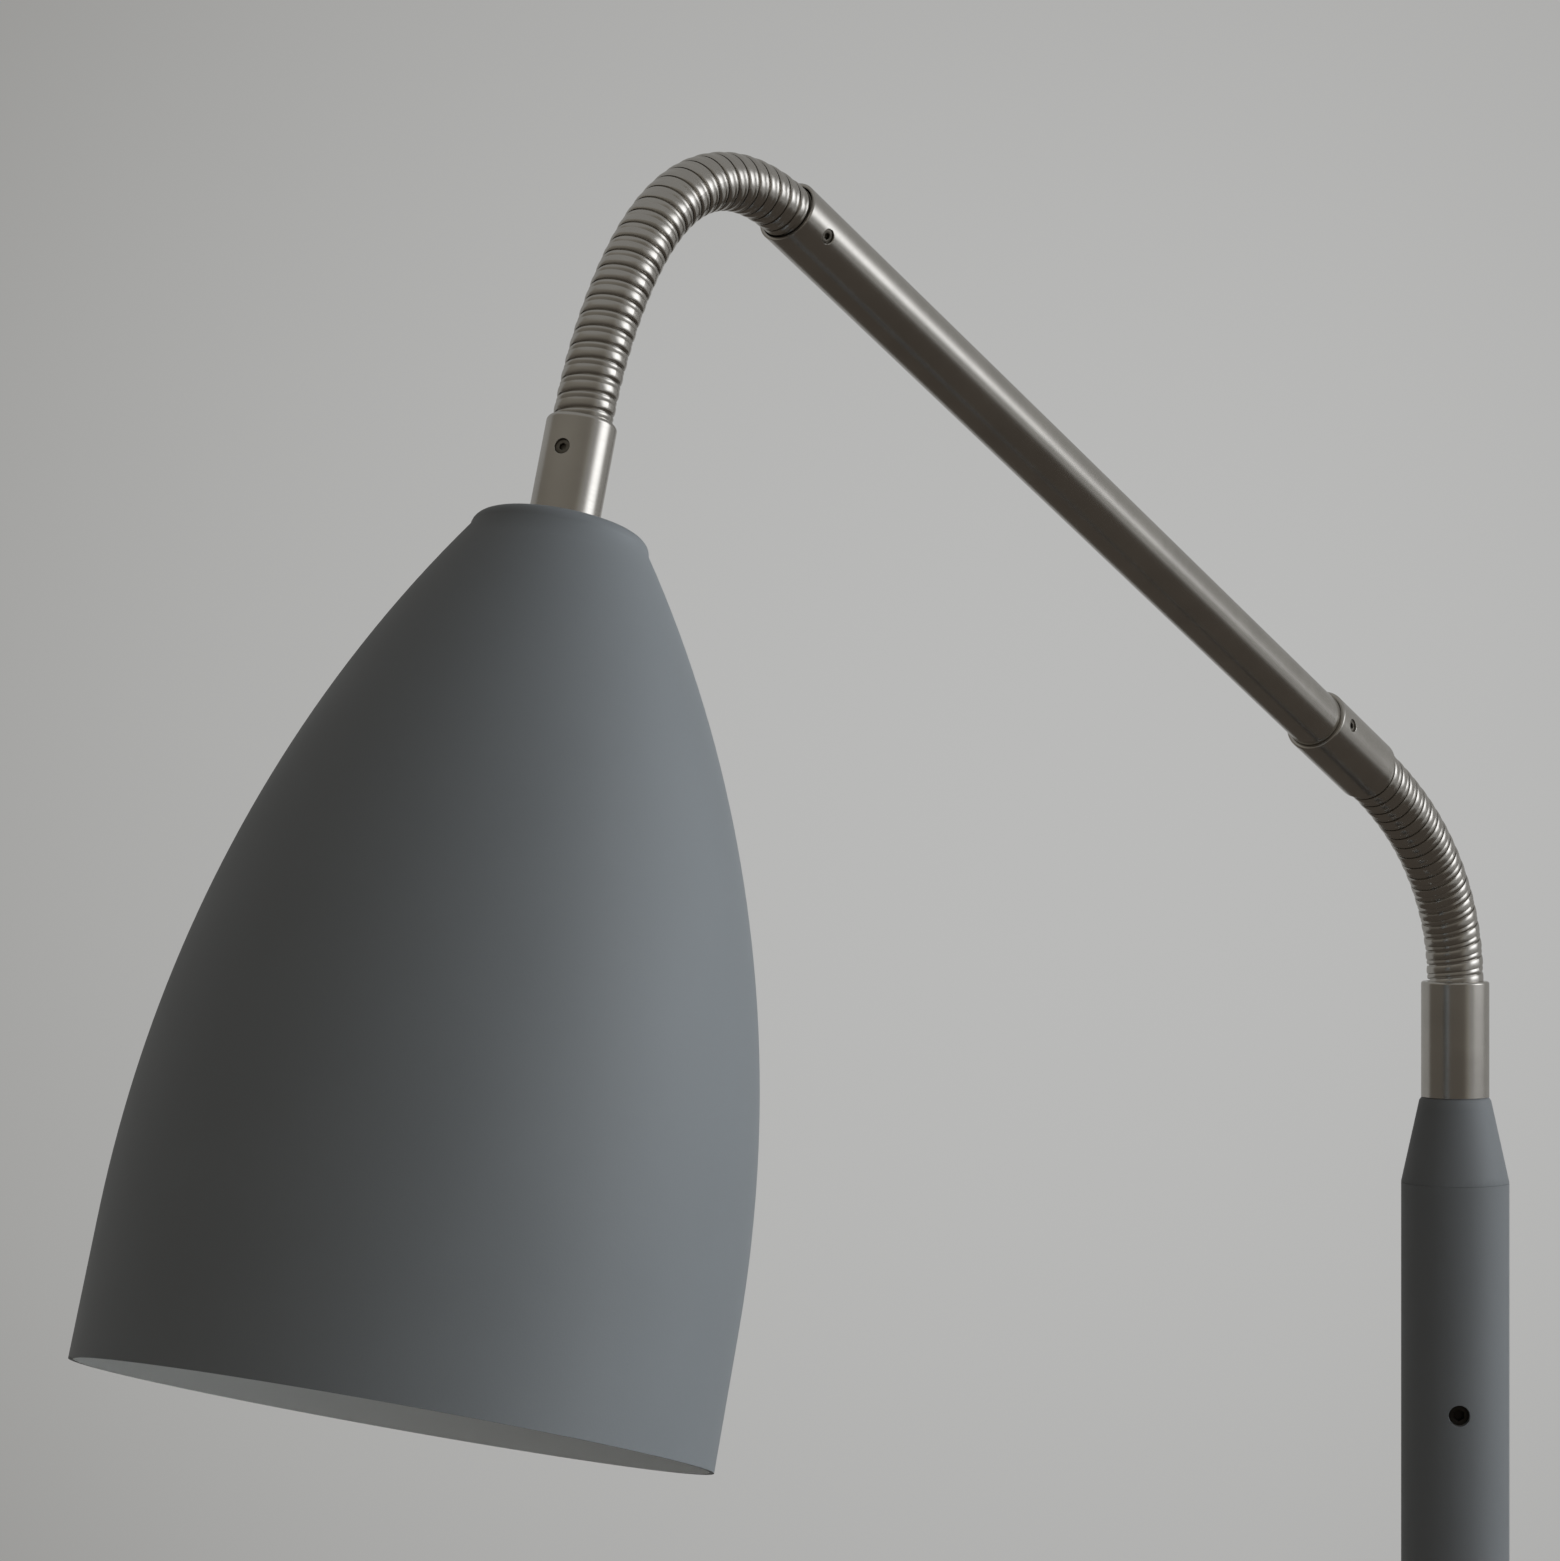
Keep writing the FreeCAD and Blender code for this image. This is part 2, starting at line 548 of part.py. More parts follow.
def shade_fixing(neck):
    """The collar with the neck's end in it, its grub screw, and the nipple, washer and nut."""
    collar = ferrule(SHADE_COLLAR_R, STUD_R + SLIP, SHADE_COLLAR_LENGTH, 0,
                     SHADE_COLLAR_EDGE_R)
    pocket = rod(neck.outer_r + SLIP, 0, SHADE_PLUG_LENGTH)
    grub, grub_hole = grub_screw(SHADE_COLLAR_R, neck.outer_r, COLLAR_GRUB_FROM_TOP,
                                 COLLAR_GRUB_AZIMUTH)
    collar = collar.cut(pocket).cut(grub_hole)
    plug = neck.end_plug(neck.outer_r, SHADE_PLUG_LENGTH)
    plug.translate(FreeCAD.Vector(0, 0, -neck.pitch))
    nipple_end = HOLDER_TOP + HOLDER_NECK_LENGTH
    nipple = ring(STUD_R, STUD_BORE_R, SHADE_PLUG_LENGTH, nipple_end - SHADE_PLUG_LENGTH)
    washer = ring(SHADE_WASHER_R, STUD_R + HOLE_CLEARANCE, SHADE_WASHER_Z, WASHER_THICK)
    return {"shade_collar": collar, "upper_neck_shade_plug": plug.cut(grub_hole),
            "shade_collar_grub_screw": grub, "shade_nipple": nipple, "shade_washer": washer,
            "shade_nut": nut(SHADE_NUT_ACROSS, SHADE_NUT_Z, SHADE_NUT_THICK)}


def lampholder():
    """Cap on the nipple, body, core, screw shell, centre contact and terminal screws."""
    core_r = HOLDER_R - HOLDER_WALL - SLIP
    core = rod(core_r, HOLDER_BODY_TOP, HOLDER_CORE_THICK)
    screws = []
    for side in (-1, 1):
        aside = FreeCAD.Vector(side * TERMINAL_OFFSET, 0, 0)
        head = rod(TERMINAL_HEAD_R, HOLDER_BODY_TOP - TERMINAL_HEAD_HEIGHT, TERMINAL_HEAD_HEIGHT)
        shank = rod(TERMINAL_SCREW_R, HOLDER_BODY_TOP, TERMINAL_SHANK_LENGTH)
        hole = rod(TERMINAL_SCREW_R + SLIP, HOLDER_BODY_TOP, TERMINAL_SHANK_LENGTH)
        screws.append(head.fuse(shank).translated(aside))
        core = core.cut(hole.translated(aside))
    return {"lampholder_cap": holder_cap(),
            "lampholder_body": ring(HOLDER_R, HOLDER_R - HOLDER_WALL, HOLDER_BODY_TOP,
                                    HOLDER_BODY_LENGTH),
            "lampholder_core": core,
            "lampholder_screw_shell": ring(HOLDER_SHELL_R, HOLDER_SHELL_R - HOLDER_SHELL_WALL,
                                           CORE_BOTTOM, HOLDER_SHELL_LENGTH),
            "lampholder_contact": rod(CONTACT_R, CORE_BOTTOM, CONTACT_HEIGHT),
            "lampholder_terminal_screws": Part.makeCompound(screws)}


def holder_cap():
    """A funnel with a threaded neck above and a short straight rim below."""
    neck_end = HOLDER_TOP + HOLDER_NECK_LENGTH
    rim_top = HOLDER_BODY_TOP - HOLDER_CAP_RIM
    outside = [(STUD_R + SLIP, HOLDER_TOP), (HOLDER_NECK_R, HOLDER_TOP),
               (HOLDER_NECK_R + HOLDER_WALL, neck_end - HOLDER_WALL), (HOLDER_R, rim_top),
               (HOLDER_R, HOLDER_BODY_TOP)]
    inside = [(HOLDER_R - HOLDER_WALL, HOLDER_BODY_TOP), (HOLDER_R - HOLDER_WALL, rim_top),
              (HOLDER_NECK_R, neck_end), (STUD_R + SLIP, neck_end)]
    return turned_polygon(outside + inside)


def bulb():
    """Tip contact, screw cap, housing and globe."""
    cap_top = BULB_TOP + BULB_TIP_HEIGHT
    housing_top = cap_top + BULB_CAP_LENGTH
    globe_top = housing_top + BULB_HOUSING_LENGTH
    housing = turned_polygon([(BULB_CAP_R - BULB_HOUSING_WALL, housing_top),
                              (BULB_CAP_R, housing_top), (BULB_GLOBE_MOUTH_R, globe_top),
                              (BULB_GLOBE_MOUTH_R - BULB_HOUSING_WALL, globe_top)])
    return {"bulb_tip": rod(BULB_TIP_R, BULB_TOP, BULB_TIP_HEIGHT),
            "bulb_cap": bulb_cap(cap_top, housing_top), "bulb_housing": housing,
            "bulb_globe": bulb_globe(globe_top)}


def bulb_cap(top, bottom):
    """The thin screw cap, drawn in to the tip at its top."""
    shoulder = top + BULB_CAP_R - BULB_TIP_R
    inner_r = BULB_CAP_R - BULB_CAP_WALL
    return turned_polygon([(0, top), (BULB_TIP_R, top), (BULB_CAP_R, shoulder),
                           (BULB_CAP_R, bottom), (inner_r, bottom), (inner_r, shoulder),
                           (BULB_TIP_R, top + BULB_CAP_WALL), (0, top + BULB_CAP_WALL)])


def bulb_globe(top):
    """The opal globe, open where it stands on the housing."""
    centre = top + math.sqrt(BULB_GLOBE_R ** 2 - BULB_GLOBE_MOUTH_R ** 2)
    inner_r = BULB_GLOBE_R - BULB_GLOBE_WALL
    inner_mouth_r = math.sqrt(inner_r ** 2 - (centre - top) ** 2)
    end = centre + BULB_GLOBE_R
    inner_end = centre + inner_r
    outer = arc((BULB_GLOBE_MOUTH_R, top), (BULB_GLOBE_R, centre), (0, end))
    inner = arc((0, inner_end), (inner_r, centre), (inner_mouth_r, top))
    mouth = line((inner_mouth_r, top), (BULB_GLOBE_MOUTH_R, top))
    return turned([outer, line((0, end), (0, inner_end)), inner, mouth])


def lamp():
    """Every node of the lamp, in place."""
    lower = Neck(LOWER_NECK_R, LOWER_NECK_BORE_R, LOWER_NECK_PITCH, LOWER_NECK_MAX_TILT,
                 tapering_turns(LOWER_NECK_SEGMENTS + 1, STRAIGHT_UP - ARM_HEADING,
                                LOWER_NECK_TAPER))
    upper = Neck(UPPER_NECK_R, UPPER_NECK_BORE_R, UPPER_NECK_PITCH, UPPER_NECK_MAX_TILT,
                 crowned_turns(UPPER_NECK_SEGMENTS + 1, ARM_HEADING - SHADE_HEADING,
                               UPPER_NECK_GENTLE_TURN, UPPER_NECK_TIGHT_JOINT,
                               UPPER_NECK_TIGHT_SPREAD))
    base = Frame(FreeCAD.Vector(0, 0, NECK_START), STRAIGHT_UP)
    lower_joints, arm_start = lower.joints(base)
    arm_end = arm_start.ahead(ARM_SPAN)
    upper_joints, head = upper.joints(arm_end)

    nodes = {}
    nodes.update(foot())
    nodes.update(foot_fixing())
    nodes.update(post())
    nodes.update(lower_neck_base(lower))
    nodes.update(neck_segments("lower_neck", lower, lower_joints))
    nodes.update(arm(lower, lower_joints[-1], upper, arm_start, arm_end))
    nodes.update(neck_segments("upper_neck", upper, upper_joints))
    in_head = {"shade": shade()}
    in_head.update(shade_fixing(upper))
    in_head.update(lampholder())
    in_head.update(bulb())
    nodes.update({name: head.place(shape) for name, shape in in_head.items()})
    return nodes


def export(nodes):
    os.makedirs("parts", exist_ok=True)
    for name, shape in nodes.items():
        shape.exportStep(f"parts/{name}.step")


export(lamp())
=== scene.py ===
import json
import math

import bmesh
import bpy
from mathutils import Matrix, Vector

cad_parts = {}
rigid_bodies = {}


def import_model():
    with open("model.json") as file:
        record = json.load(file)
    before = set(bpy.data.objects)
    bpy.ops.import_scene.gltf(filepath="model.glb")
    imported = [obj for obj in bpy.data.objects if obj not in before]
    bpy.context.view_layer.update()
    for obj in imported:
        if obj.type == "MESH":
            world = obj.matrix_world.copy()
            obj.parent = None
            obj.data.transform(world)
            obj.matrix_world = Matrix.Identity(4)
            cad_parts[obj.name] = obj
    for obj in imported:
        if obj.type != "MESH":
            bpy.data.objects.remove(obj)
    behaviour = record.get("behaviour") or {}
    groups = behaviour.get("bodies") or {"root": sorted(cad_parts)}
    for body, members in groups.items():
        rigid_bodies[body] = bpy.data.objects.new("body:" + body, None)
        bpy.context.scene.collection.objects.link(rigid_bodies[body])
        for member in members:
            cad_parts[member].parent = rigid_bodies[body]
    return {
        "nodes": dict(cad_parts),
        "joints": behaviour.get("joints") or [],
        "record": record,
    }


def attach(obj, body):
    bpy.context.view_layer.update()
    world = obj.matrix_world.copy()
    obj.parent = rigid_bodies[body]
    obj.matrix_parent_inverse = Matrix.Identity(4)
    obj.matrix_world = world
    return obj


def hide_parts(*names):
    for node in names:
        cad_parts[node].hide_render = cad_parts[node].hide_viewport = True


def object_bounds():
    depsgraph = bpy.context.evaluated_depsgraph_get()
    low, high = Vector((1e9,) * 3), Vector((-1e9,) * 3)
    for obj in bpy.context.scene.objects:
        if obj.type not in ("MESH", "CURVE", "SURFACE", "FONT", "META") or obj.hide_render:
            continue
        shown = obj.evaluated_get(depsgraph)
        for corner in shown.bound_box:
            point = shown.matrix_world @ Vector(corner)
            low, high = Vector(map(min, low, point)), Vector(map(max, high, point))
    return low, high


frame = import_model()

# Looks of the gooseneck reading floor lamp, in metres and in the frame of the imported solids.
# A heading is the slope of the lamp's line in the plane X = 0: 90 is straight up, 0 is level.

CAD_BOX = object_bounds()

# ---- Camera ----
PICTURE_LONG_SIDE = 1561
FOCAL_LENGTH_IN_PIXELS = 3993
SENSOR = 36.0
CAMERA_PLACE = (0.5975, -1.0525, 1.120)
CAMERA_TURN = 39.18
PICTURE_CENTRE = (780, 780.5)

# ---- Necks ----
POST_HEADING = 90.0
ARM_HEADING = 26.4
SHADE_HEADING = -74.4
LOWER_NECK = {"name": "lower_neck", "radius": 0.0084, "bore": 0.0040, "pitch": 0.00478,
              "first_heading": POST_HEADING, "last_heading": ARM_HEADING}
UPPER_NECK = {"name": "upper_neck", "radius": 0.00685, "bore": 0.0032, "pitch": 0.003856,
              "first_heading": ARM_HEADING, "last_heading": SHADE_HEADING}
STRIP_GROOVE_DEPTH = 0.00080
STRIP_GROOVE_WIDTH = 0.00050
STRIP_SIDES = 48
PATH_SPARE_TURNS = 6
ARC_STEPS = 12

# ---- Shade ----
SHADE_COLLAR_LENGTH = 0.0251
SHADE_LENGTH = 0.198
SHADE_RIM_R = 0.0691
SHADE_RIM_STRAIGHT = 0.0306
SHADE_TOP_R = 0.01785
SHADE_TOP_EDGE_R = 0.004
SHADE_SHEET = 0.001
SHADE_HOLE_R = 0.00515

# ---- Stage ----
FLOOR_R = 3.0
FLOOR_LIFT = (0.20, 0.20, 0.195, 1)
LIT_PLACE = Vector((0, -0.25, 1.05))
WINDOW_AZIMUTH = 124
WINDOW_ELEVATION = 17
WINDOW_DISTANCE = 1.8
WINDOW_SIZE = (2.4, 1.5)
WINDOW_POWER = 38
# The pane is a glowing sheet that shows only in the metal: a painted reflection of the window, fading
# at its edge to the wall's dim tone.
PANE_SIZE = (1.75, 1.5)
PANE_SOFT_EDGE = 0.42
PAINTED_WINDOW_REFLECTION_TONE = (2.20, 2.24, 2.30)
# The screen and the floor disc show only in the metal: a painted reflection of a dim room, with painted
# shade low down and paler tones high up.
SCREEN_R = 2.6
SCREEN_HEIGHT = 3.4
SCREEN_FROM = -72
SCREEN_TO = 82
SCREEN_SOFT_END = 24
PAINTED_REFLECTION_DARK = (0.072, 0.062, 0.052)
PAINTED_REFLECTION_PALE = (0.26, 0.245, 0.215)
# The wall is painted brighter round one place and dimmer away from it: painted light on the backdrop.
BACKDROP_BRIGHT_PIXEL = (1150, 800)
BACKDROP_BRIGHT = (0.492, 0.492, 0.486)
BACKDROP_DIM = (0.315, 0.312, 0.302)
BACKDROP_REACH = 20.6
ROOM_FILL = 0.165

# ---- Edges ----
SMOOTH_ANGLE = 32.0
MERGE = 0.000002
BROKEN_EDGE = 0.00012
BROKEN_EDGE_FROM = 50.0
BROKEN_EDGE_STEPS = 2


def camera():
    lens = bpy.data.cameras.new("camera")
    lens.sensor_width = SENSOR
    lens.lens = FOCAL_LENGTH_IN_PIXELS / PICTURE_LONG_SIDE * SENSOR
    view = bpy.data.objects.new("camera", lens)
    view.location = CAMERA_PLACE
    view.rotation_euler = (math.radians(90), 0, math.radians(CAMERA_TURN))
    bpy.context.scene.collection.objects.link(view)
    bpy.context.scene.camera = view


camera()


# ---- Materials ----

PATTERN_START = (0.022, 0, 0)


class Finish:
    """A material under construction, with its pattern read from Object coordinates or a UV map."""

    def __init__(self, name, uv=False):
        self.material = bpy.data.materials.new(name)
        self.material.use_nodes = True
        self.tree = self.material.node_tree
        self.shader = self.tree.nodes["Principled BSDF"]
        source = self.tree.nodes.new("ShaderNodeTexCoord")
        self.place = source.outputs["UV" if uv else "Object"]
        self.bump_chain = None

    def join(self, output, socket):
        self.tree.links.new(output, socket)

    def stretched(self, stretch, tilt=0.0):
        """The pattern's place, drawn out by a stretch in a frame that is tilted about X."""
        node = self.tree.nodes.new("ShaderNodeMapping")
        node.vector_type = "TEXTURE"
        node.inputs["Location"].default_value = PATTERN_START
        node.inputs["Scale"].default_value = stretch
        node.inputs["Rotation"].default_value = (math.radians(tilt), 0, 0)
        self.join(self.place, node.inputs["Vector"])
        return node.outputs["Vector"]

    def noise(self, size, detail=2.0, roughness=0.5, vector=None):
        """Noise whose features are about this size in metres."""
        node = self.tree.nodes.new("ShaderNodeTexNoise")
        node.inputs["Scale"].default_value = 1 / size
        node.inputs["Detail"].default_value = detail
        node.inputs["Roughness"].default_value = roughness
        self.join(vector or self.place, node.inputs["Vector"])
        return node.outputs["Fac"]

    def ranged(self, value, low, high, start=0.3, end=0.7):
        node = self.tree.nodes.new("ShaderNodeMapRange")
        node.inputs["From Min"].default_value = start
        node.inputs["From Max"].default_value = end
        node.inputs["To Min"].default_value = low
        node.inputs["To Max"].default_value = high
        self.join(value, node.inputs["Value"])
        return node.outputs["Result"]

    def mixed(self, value, low, high):
        """A colour between two, by a pattern."""
        node = self.tree.nodes.new("ShaderNodeMix")
        node.data_type = "RGBA"
        for socket, colour in zip([s for s in node.inputs if s.type == "RGBA"], (low, high)):
            socket.default_value = (*colour, 1)
        self.join(value, node.inputs["Factor"])
        return [s for s in node.outputs if s.type == "RGBA"][0]

    def colour(self, value, low, high):
        self.join(self.mixed(value, low, high), self.shader.inputs["Base Color"])

    def roughness(self, value, low, high):
        self.join(self.ranged(value, low, high), self.shader.inputs["Roughness"])

    def bump(self, value, height, strength=1.0):
        node = self.tree.nodes.new("ShaderNodeBump")
        node.inputs["Distance"].default_value = height
        node.inputs["Strength"].default_value = strength
        self.join(value, node.inputs["Height"])
        if self.bump_chain:
            self.join(self.bump_chain, node.inputs["Normal"])
        self.bump_chain = node.outputs["Normal"]
        self.join(self.bump_chain, self.shader.inputs["Normal"])

    def set(self, **sockets):
        for name, value in sockets.items():
            self.shader.inputs[name.replace("_", " ")].default_value = value


def powder_coat(name, light, dark):
    """Fine matte powder coat: a pebbled skin with hardly any change of colour."""
    finish = Finish(name)
    broad = finish.noise(0.035, 3.0)
    grain = finish.noise(0.00045, 3.0, 0.6)
    finish.colour(finish.ranged(broad, 0.0, 1.0), dark, light)
    finish.roughness(broad, 0.50, 0.60)
    finish.bump(grain, 0.00005, 0.35)
    finish.set(Specular_IOR_Level=0.4)
    return finish.material


def satin_nickel(name, stretch, tilt=0.0, uv=False):
    """Nickel plate with fine lines, which are long where the stretch is large."""
    finish = Finish(name, uv)
    lines = finish.noise(0.00022, 2.0, 0.6, finish.stretched(stretch, tilt))
    blush = finish.noise(0.012, 2.0)
    finish.colour(finish.ranged(blush, 0.0, 1.0), NICKEL_DARK, NICKEL_LIGHT)
    finish.roughness(lines, 0.20, 0.27)
    finish.bump(lines, 0.000001, 0.3)
    finish.set(Metallic=1.0)
    return finish.material


def plain_metal(name, light, dark, rough, grain=0.0006, height=0.00001):
    finish = Finish(name)
    cloud = finish.noise(grain * 6, 3.0)
    finish.colour(finish.ranged(cloud, 0.0, 1.0), dark, light)
    finish.roughness(cloud, *rough)
    finish.bump(finish.noise(grain, 2.0), height, 0.5)
    finish.set(Metallic=1.0)
    return finish.material


def moulded(name, light, dark, rough, grain=0.0005, height=0.00002, level=0.5):
    """Moulded plastic, rubber or glaze, with a faint skin."""
    finish = Finish(name)
    cloud = finish.noise(0.009, 2.0)
    finish.colour(finish.ranged(cloud, 0.0, 1.0), dark, light)
    finish.roughness(cloud, *rough)
    finish.bump(finish.noise(grain, 2.0), height, 0.5)
    finish.set(Specular_IOR_Level=level)
    return finish.material


def opal(name):
    finish = Finish(name)
    cloud = finish.noise(0.02, 2.0)
    finish.colour(finish.ranged(cloud, 0.0, 1.0), (0.80, 0.79, 0.76), (0.84, 0.83, 0.80))
    finish.roughness(cloud, 0.25, 0.33)
    finish.bump(finish.noise(0.0012, 1.0), 0.000004, 0.5)
    finish.set(Subsurface_Weight=0.25, Subsurface_Scale=0.004)
    return finish.material


PAINT_LIGHT = (0.206, 0.214, 0.222)
PAINT_DARK = (0.195, 0.203, 0.211)
# The coat of the post, its cone and the foot is set darker than the shade's: painted shade, for these
# lower parts getting less light.
POST_PAINT_SHADED_LIGHT = (0.158, 0.161, 0.165)
POST_PAINT_SHADED_DARK = (0.149, 0.152, 0.156)
NICKEL_LIGHT = (0.59, 0.57, 0.535)
NICKEL_DARK = (0.53, 0.51, 0.48)
ROUND_THE_TUBE = (200, 200, 1)
ALONG_THE_STRIP = (20, 1, 1)

MATERIALS = {
    "grey_paint": powder_coat("grey powder coat", POST_PAINT_SHADED_LIGHT, POST_PAINT_SHADED_DARK),
    "shade_paint": powder_coat("shade powder coat", PAINT_LIGHT, PAINT_DARK),
    "shade_inside": powder_coat("shade white lining", (0.84, 0.84, 0.84), (0.81, 0.81, 0.81)),
    "satin_nickel": satin_nickel("satin nickel on the post", ROUND_THE_TUBE),
    "arm_nickel": satin_nickel("satin nickel on the arm", ROUND_THE_TUBE, 90 - ARM_HEADING),
    "head_nickel": satin_nickel("satin nickel on the shade", ROUND_THE_TUBE,
                                90 - SHADE_HEADING),
    "neck_nickel": satin_nickel("satin nickel strip", ALONG_THE_STRIP, uv=True),
    "dark_screw": plain_metal("black oxide", (0.060, 0.056, 0.050), (0.040, 0.037, 0.033), (0.35, 0.5)),
    "grub_steel": plain_metal("grub screw steel", (0.22, 0.205, 0.18), (0.15, 0.14, 0.12),
                              (0.35, 0.5)),
    "plain_steel": plain_metal("machined steel", (0.56, 0.56, 0.56), (0.5, 0.5, 0.5), (0.3, 0.4)),
    "zinc_steel": plain_metal("zinc plate", (0.68, 0.69, 0.70), (0.6, 0.61, 0.63), (0.25, 0.4)),
    "cast_iron": plain_metal("primed iron", (0.07, 0.07, 0.075), (0.05, 0.05, 0.055),
                             (0.6, 0.75), 0.0016, 0.00015),
    "pad_rubber": moulded("pad rubber", (0.035, 0.035, 0.035), (0.025, 0.025, 0.025),
                          (0.7, 0.85), 0.0008, 0.00006, 0.3),
    "bush_plastic": moulded("bush plastic", (0.04, 0.04, 0.04), (0.03, 0.03, 0.03), (0.4, 0.5)),
    "holder_plastic": moulded("holder plastic", (0.045, 0.045, 0.045), (0.035, 0.035, 0.035),
                              (0.35, 0.45)),
    "holder_core": moulded("glazed core", (0.76, 0.74, 0.68), (0.72, 0.70, 0.64), (0.12, 0.2)),
    "brass": plain_metal("brass", (0.80, 0.62, 0.30), (0.72, 0.54, 0.25), (0.25, 0.35)),
    "bulb_cap_metal": plain_metal("bulb cap aluminium", (0.78, 0.78, 0.77), (0.7, 0.7, 0.7),
                                  (0.22, 0.32)),
    "bulb_plastic": moulded("bulb housing plastic", (0.80, 0.80, 0.78), (0.77, 0.77, 0.75),
                            (0.3, 0.4)),
    "bulb_opal": opal("opal globe"),
}


# ---- Meshes ----

def set_on_line(place, heading):
    """The matrix of a frame on the lamp's line: local Z runs along the line."""
    tilt = Matrix.Rotation(math.radians(90 - heading), 4, "X")
    return Matrix.Translation(place) @ tilt


def direction(heading):
    slope = math.radians(heading)
    return Vector((0, -math.cos(slope), math.sin(slope)))


def mesh_object(name, mesh):
    made = bpy.data.objects.new(name, mesh)
    bpy.context.scene.collection.objects.link(made)
    return made


def smoothed(mesh):
    mesh.shade_smooth()
    mesh.set_sharp_from_angle(angle=math.radians(SMOOTH_ANGLE))


def turned(name, outline, matrix, materials, sides=96, slots=None):
    """A closed turned solid: the outline's (radius, height) points, once round local Z."""
    corners, faces = [], []
    rings = []
    for radius, height in outline:
        if radius < 1e-7:
            rings.append([len(corners)])
            corners.append(matrix @ Vector((0, 0, height)))
            continue
        rings.append(list(range(len(corners), len(corners) + sides)))
        for i in range(sides):
            angle = 2 * math.pi * i / sides
            corners.append(matrix @ Vector((radius * math.cos(angle), radius * math.sin(angle),
                                            height)))
    which = []
    for j, ring in enumerate(rings):
        above = rings[(j + 1) % len(rings)]
        if len(ring) == 1 and len(above) == 1:
            continue
        for i in range(sides):
            k = (i + 1) % sides
            if len(ring) == 1:
                faces.append((ring[0], above[k], above[i]))
            elif len(above) == 1:
                faces.append((ring[i], ring[k], above[0]))
            else:
                faces.append((ring[i], ring[k], above[k], above[i]))
            which.append(slots[j] if slots else 0)
    mesh = bpy.data.meshes.new(name)
    mesh.from_pydata([tuple(c) for c in corners], [], faces)
    for material in materials:
        mesh.materials.append(material)
    mesh.polygons.foreach_set("material_index", which)
    smoothed(mesh)
    return mesh_object(name, mesh)


# ---- The wound strip of the necks ----

def strip_outline(neck):
    """One turn of the strip in section, as (radius, way along): a narrow roll, a soft valley
    and a broad crowned band, with a groove to the next turn. Ways are shares of the pitch."""
    outer, pitch = neck["radius"], neck["pitch"]
    core = outer - STRIP_GROOVE_DEPTH
    side = STRIP_GROOVE_WIDTH / 2 / pitch
    shape = [(0, core), (side, core), (side, outer - 0.00032), (0.09, outer - 0.00020),
             (0.17, outer - 0.00012), (0.25, outer - 0.00014), (0.33, outer - 0.00024),
             (0.38, outer - 0.00030), (0.41, outer - 0.00020), (0.44, outer - 0.00006),
             (0.56, outer), (0.76, outer - 0.00002), (0.87, outer - 0.00010),
             (1 - side, outer - 0.00028), (1 - side, core), (1, core)]
    return [(radius, way * pitch) for way, radius in shape] + [(neck["bore"], pitch),
                                                               (neck["bore"], 0)]


def curve_object(name, points, closed=False):
    """A curve of straight runs through the points."""
    curve = bpy.data.curves.new(name, "CURVE")
    curve.dimensions = "3D"
    spline = curve.splines.new("POLY")
    spline.points.add(len(points) - 1)
    for corner, place in zip(spline.points, points):
        corner.co = (*place, 1)
    spline.use_cyclic_u = closed
    return mesh_object(name, curve)


def neck_path(neck, joints):
    """The neck's centre line: straight runs between the ball centres, rounded at each one."""
    pitch = neck["pitch"]
    first, last = direction(neck["first_heading"]), direction(neck["last_heading"])
    spare = PATH_SPARE_TURNS * pitch
    corners = [joints[0] - first * (pitch + spare)] + joints + [joints[-1] + last * (pitch + spare)]
    points = [corners[0], joints[0] - first * pitch]
    for before, corner, after in zip(corners, corners[1:], corners[2:]):
        way_in, way_out = (corner - before).normalized(), (after - corner).normalized()
        turn = way_in.angle(way_out)
        side = (way_out - way_in).normalized()
        radius = pitch / math.tan(turn / 2)
        centre = corner + side * (radius / math.cos(turn / 2))
        across = (way_in + way_out).normalized()
        for i in range(1, ARC_STEPS + 1):  # two arcs meet half way between two balls
            swing = turn * (i / ARC_STEPS - 0.5)
            points.append(centre - side * (radius * math.cos(swing))
                          + across * (radius * math.sin(swing)))
    return points + [corners[-1]]


